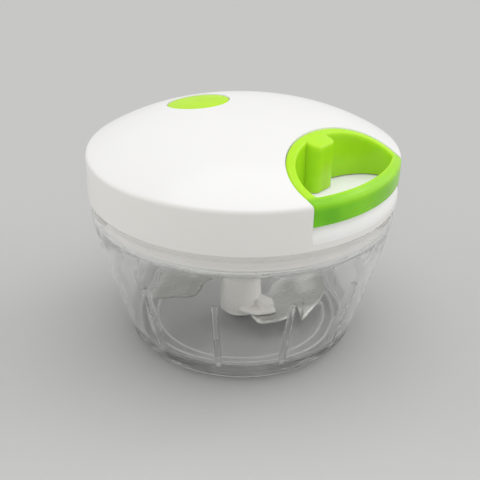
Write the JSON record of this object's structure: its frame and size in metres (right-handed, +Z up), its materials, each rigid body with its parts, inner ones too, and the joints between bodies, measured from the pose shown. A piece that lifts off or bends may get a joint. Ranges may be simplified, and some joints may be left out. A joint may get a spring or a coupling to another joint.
{
  "type": "pull cord food chopper",
  "caption": "Small hand food chopper: clear flared bowl with blades on a central hub, domed white lid, and a green loop handle in its side that pulls a cord to spin the blades.",
  "frame": {"origin": "middle of the bowl's foot ring, on the surface it stands on", "axes": "+Z up along the hub, +X the way the handle pulls out of the lid"},
  "size_m": [0.125, 0.125, 0.0967],
  "materials": {
    "clear_plastic": "clear polished moulding",
    "white_plastic": "smooth satin gloss",
    "inner_plastic": "smooth moulding",
    "green_plastic": "smooth satin gloss",
    "silicone": "soft matt",
    "blade_steel": "ground and polished edge",
    "fastener_steel": "plain",
    "spring_steel": "oiled strip",
    "bearing_plastic": "plain",
    "cord_fibre": "braided"
  },
  "bodies": {
    "bowl_unit": {"bowl": "clear_plastic", "pivot_pin": "blade_steel"},
    "rotor": {"blade_hub": "white_plastic", "hub_cap": "white_plastic", "hub_spacer": "white_plastic", "lower_blade": "blade_steel", "upper_blade": "blade_steel"},
    "lid": {"top_cover": "white_plastic", "cover_inlay": "green_plastic", "lid_base": "inner_plastic", "seal_ring": "silicone", "lid_screw_1": "fastener_steel", "lid_screw_2": "fastener_steel", "lid_screw_3": "fastener_steel", "lid_screw_4": "fastener_steel", "drive_bush": "bearing_plastic", "spring_post": "fastener_steel", "spiral_spring": "spring_steel", "cord_eyelet": "fastener_steel", "cord_lead": "cord_fibre"},
    "drive": {"drive_shaft": "inner_plastic", "retaining_ring": "spring_steel", "clutch_hub": "bearing_plastic", "clutch_pawl_1": "fastener_steel", "clutch_pawl_2": "fastener_steel", "clutch_pawl_3": "fastener_steel"},
    "reel": {"cord_reel": "inner_plastic", "reel_cover": "inner_plastic", "clutch_ring": "bearing_plastic", "wound_cord": "cord_fibre"},
    "handle": {"pull_handle": "green_plastic", "cord_stop": "fastener_steel"}
  },
  "joints": [
    {"name": "lid_lift", "type": "slide", "parent": "bowl_unit", "child": "lid", "axis": [0, 0, 1], "range_m": [0, 0.12]},
    {"name": "handle_pull", "type": "slide", "parent": "lid", "child": "handle", "axis": [1, 0, 0], "range_m": [0, 0.3], "stiffness_N_per_m": 15, "springref_m": -0.05, "deforming": ["cord_lead"]},
    {"name": "reel_turn", "type": "hinge", "parent": "lid", "child": "reel", "pos_m": [0, 0, 0.08], "axis": [0, 0, 1], "range_deg": [-710, 0]},
    {"name": "drive_turn", "type": "hinge", "parent": "lid", "child": "drive", "pos_m": [0, 0, 0.065], "axis": [0, 0, 1], "continuous": true},
    {"name": "rotor_turn", "type": "hinge", "parent": "bowl_unit", "child": "rotor", "pos_m": [0, 0, 0.03], "axis": [0, 0, 1], "continuous": true}
  ],
  "couplings": [
    {"joint": "reel_turn", "follows": "handle_pull", "rad_per_m": -41},
    {"joint": "drive_turn", "follows": "handle_pull", "rad_per_m": -41},
    {"joint": "rotor_turn", "follows": "handle_pull", "rad_per_m": -41}
  ]
}
